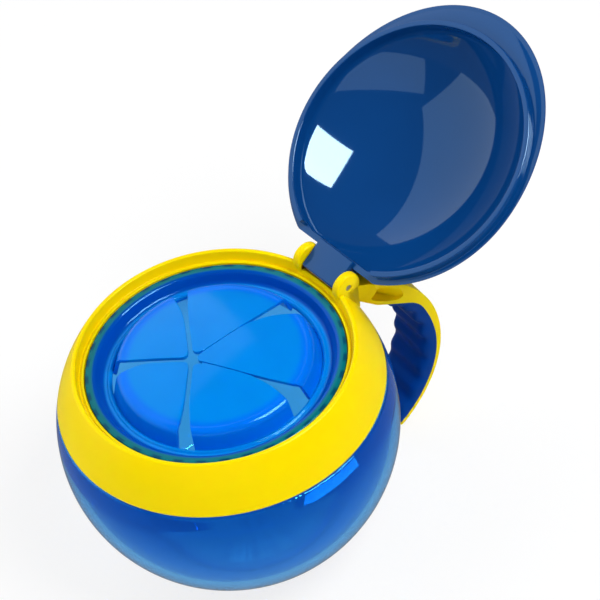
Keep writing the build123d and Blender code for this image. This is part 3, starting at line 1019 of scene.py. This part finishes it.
class CUP_OT_lid(bpy.types.Operator):
    """Navy lid with its dish, skirt, thumb tab and knuckle, modelled shut and swung open"""

    bl_idname = "cup.lid"
    bl_label = "Lid"

    def execute(self, context):
        s = sized(context.scene)
        mid, plane = s["ball_height"], s["rim_top"] + 0.1
        inner, ball = s["ball"] - s["lid_wall"], s["ball"]
        (skirt_in, skirt_out), skirt_low = SKIRT, plane - 2.6
        tab_up = plane + 2.0
        meet = sqrt(inner**2 - skirt_in**2) + mid
        rim = ball_out(ball, plane, mid)
        outline = [(0, mid + inner)]
        outline += ball_run(inner, meet, mid + inner, mid, 44)[-2:0:-1]
        outline += [(skirt_in, meet, 1.2), (skirt_in, skirt_low, 0.35), (skirt_out, skirt_low, 0.35)]
        outline += [(skirt_out, plane, 0.3), (rim, plane, 0.35)]
        outline += ball_run(ball, plane, mid + ball, mid, 60)[2:-1]
        outline += [(0, mid + ball)]
        lid = turned("navy_lid", soften(outline, closed=False), 288)
        chord, hinge_side = 35.5, 33.5 / 36.5
        tab_side, tab = 39.05, s["tab_reach"]
        for vertex in lid.data.vertices:
            out, up = vertex.co.xy.length / MM, vertex.co.z / MM
            if out < 1e-3:
                continue
            way = vertex.co.xy / (out * MM)
            # Thumb tab: the flange's edge is drawn out to half an oval at the front
            if way.y < 0 and out > skirt_out + 0.1 and up < tab_up + 0.01:
                oval = 1 / sqrt((way.x / tab_side) ** 2 + (way.y / tab) ** 2)
                out = max(out, out + (oval - rim))
            # No skirt beside the hinge
            if way.y > hinge_side and up < plane + 0.001 and skirt_in - 0.1 < out < skirt_out + 0.4:
                up = plane
            # Flat back over the knuckle
            limit = chord if ball_side(out, up, ball, mid) else chord - s["lid_wall"]
            if way.y > 0 and way.y * out > limit:
                out = limit / way.y
            vertex.co = Vector((way.x * out * MM, way.y * out * MM, up * MM))
        weld()
        swing = lid_swing(context.scene)
        lid.data.transform(swing)
        dress(lid, "navy", context.scene, 32)
        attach(lid, "lid")
        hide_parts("lid")

        # Knuckle: a plate off the lid's edge, rolled round the pin
        pin = (s["pin_out"], s["pin_height"])
        plane -= 0.01
        knuckle = [(33.85, plane), (34.0, pin[1] - PLATE_DROP, 0.3)]
        knuckle += arc(pin, KNUCKLE[0], radians(-38), radians(90), 22)
        knuckle += [(34.95, pin[1] + KNUCKLE[0]), (34.95, plane)]
        plate_place = swing @ Matrix.Rotation(pi / 2, 4, "Z")
        roll = plate("lid_knuckle", soften(knuckle), plate_place, KNUCKLE[1], 0.5)
        dress(roll, "navy", context.scene)
        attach(roll, "lid")
        return {"FINISHED"}


def ball_side(out, up, ball, mid):
    """True for a corner on the lid's outer side."""
    return sqrt(out**2 + (up - mid) ** 2) > ball - 0.8


def lid_swing(scene):
    """The turn about the pin that opens the lid."""
    pin = Vector((0, scene.cup_sizes.pin_out, scene.cup_sizes.pin_height))
    turn = Matrix.Rotation(-scene.cup_sizes.lid_opening, 4, "X")
    return Matrix.Translation(pin) @ turn @ Matrix.Translation(-pin)


class CUP_OT_stage(bpy.types.Operator):
    """Floor, soft lamps and camera"""

    bl_idname = "cup.stage"
    bl_label = "Stage"

    def execute(self, context):
        bpy.ops.object.select_all(action="DESELECT")
        bpy.ops.mesh.primitive_plane_add(size=6)
        floor = context.object
        floor.name = "floor"
        material, tree, out = new_material("pale floor")
        path = add_node(tree, "ShaderNodeLightPath")
        # White to the eye and through clear plastic, dark where it is mirrored
        paint = add_node(tree, "ShaderNodeBsdfDiffuse", {"Color": rgba(context.scene.cup_colours.floor)})
        glow = add_node(tree, "ShaderNodeEmission", {"Color": (1, 1, 1, 1), "Strength": 1.0})
        dim = add_node(tree, "ShaderNodeEmission", {"Color": (1, 1, 1, 1), "Strength": 0.22})
        # Away from the cup the floor fades into the white backdrop
        place = add_node(tree, "ShaderNodeTexCoord").outputs["Object"]
        away = add_node(tree, "ShaderNodeVectorMath", {"operation": "LENGTH"}, {0: place})
        fade = add_node(
            tree,
            "ShaderNodeMapRange",
            {"From Min": 0.12, "From Max": 0.6, "To Min": 0.8, "To Max": 1.0},
            {"Value": away.outputs["Value"]},
        )
        share = add_node(
            tree,
            "ShaderNodeMath",
            {"operation": "MULTIPLY_ADD"},
            {0: path.outputs["Is Camera Ray"], 1: fade.outputs[0], 2: path.outputs["Is Transmission Ray"]},
        )
        clamp = add_node(tree, "ShaderNodeClamp", {}, {"Value": share.outputs[0]})
        both = add_node(
            tree, "ShaderNodeMixShader", {}, {0: clamp.outputs[0], 1: paint.outputs[0], 2: glow.outputs[0]}
        )
        mirrored = add_node(
            tree,
            "ShaderNodeMath",
            {"operation": "SUBTRACT", "use_clamp": True},
            {0: path.outputs["Is Glossy Ray"], 1: path.outputs["Is Transmission Ray"]},
        )
        seen = add_node(
            tree,
            "ShaderNodeMixShader",
            {},
            {0: mirrored.outputs[0], 1: both.outputs[0], 2: dim.outputs[0]},
        )
        tree.links.new(seen.outputs[0], out.inputs["Surface"])
        floor.data.materials.append(material)

        world = bpy.data.worlds.new("studio")
        context.scene.world = world
        world.use_nodes = True
        tree = world.node_tree
        tree.nodes.clear()
        path = add_node(tree, "ShaderNodeLightPath")
        soft = add_node(tree, "ShaderNodeBackground", {"Color": (0.93, 0.96, 1.0, 1), "Strength": 0.14})
        white = add_node(tree, "ShaderNodeBackground", {"Color": (1, 1, 1, 1), "Strength": 1.0})
        both = add_node(
            tree,
            "ShaderNodeMixShader",
            {},
            {0: path.outputs["Is Camera Ray"], 1: soft.outputs[0], 2: white.outputs[0]},
        )
        out = add_node(tree, "ShaderNodeOutputWorld")
        tree.links.new(both.outputs[0], out.inputs["Surface"])

        # A small bright softbox at the right, a wide dim one at the left and a low one in front
        lamps = {name: lamp(name, *settings) for name, settings in SOFTBOXES.items()}
        # The glint is only there for the eye, in polished faces
        lamps["glint"].visible_diffuse = False

        turn, tilt, roll = CAMERA_TURN, CAMERA_TILT, CAMERA_ROLL
        away = Vector((-sin(turn) * cos(tilt), cos(turn) * cos(tilt), -sin(tilt)))
        right = Vector((cos(turn), sin(turn), 0))
        over = right.cross(away)
        right, over = (
            right * cos(roll) + over * sin(roll),
            over * cos(roll) - right * sin(roll),
        )
        camera = bpy.data.objects.new("camera", bpy.data.cameras.new("camera"))
        context.scene.collection.objects.link(camera)
        camera.matrix_world = Matrix((right, over, -away)).transposed().to_4x4()
        camera.location = CAMERA_PLACE
        camera.data.sensor_width = CAMERA_SENSOR
        camera.data.lens = CAMERA_LENS
        context.scene.camera = camera
        context.scene.view_settings.view_transform = "Standard"
        return {"FINISHED"}


def lamp(name, place, aim, over, width, height, power):
    """An area lamp at a place, turned to its aim, with its upper edge towards a direction."""
    data = bpy.data.lights.new(name, "AREA")
    data.shape = "RECTANGLE"
    data.size, data.size_y, data.energy = width, height, power
    thing = bpy.data.objects.new(name, data)
    bpy.context.scene.collection.objects.link(thing)
    back = (Vector(place) - Vector(aim)).normalized()
    side = Vector(over).cross(back).normalized()
    turn = Matrix((side, back.cross(side), back)).transposed().to_4x4()
    thing.matrix_world = Matrix.Translation(place) @ turn
    thing.visible_camera = False
    return thing


PIECES = [
    CUP_OT_bowl,
    CUP_OT_collar,
    CUP_OT_pin,
    CUP_OT_grip,
    CUP_OT_insert,
    CUP_OT_flaps,
    CUP_OT_lid,
    CUP_OT_stage,
]


class CUP_PT_panel(bpy.types.Panel):
    """The cup's pieces, sizes and colours"""

    bl_label = "Snack cup"
    bl_idname = "CUP_PT_panel"
    bl_space_type = "VIEW_3D"
    bl_region_type = "UI"
    bl_category = "Snack cup"

    def draw(self, context):
        for piece in PIECES:
            self.layout.operator(piece.bl_idname)
        for group in (context.scene.cup_sizes, context.scene.cup_colours):
            for key in group.__annotations__:
                self.layout.prop(group, key)


CLASSES = [CupSizes, CupColours, *PIECES, CUP_PT_panel]


def register():
    for cls in CLASSES:
        bpy.utils.register_class(cls)
    bpy.types.Scene.cup_sizes = bpy.props.PointerProperty(type=CupSizes)
    bpy.types.Scene.cup_colours = bpy.props.PointerProperty(type=CupColours)


def unregister():
    del bpy.types.Scene.cup_colours
    del bpy.types.Scene.cup_sizes
    for cls in reversed(CLASSES):
        bpy.utils.unregister_class(cls)


def main():
    register()
    for piece in PIECES:
        getattr(bpy.ops.cup, piece.bl_idname.split(".")[1])()


if __name__ == "__main__":
    main()
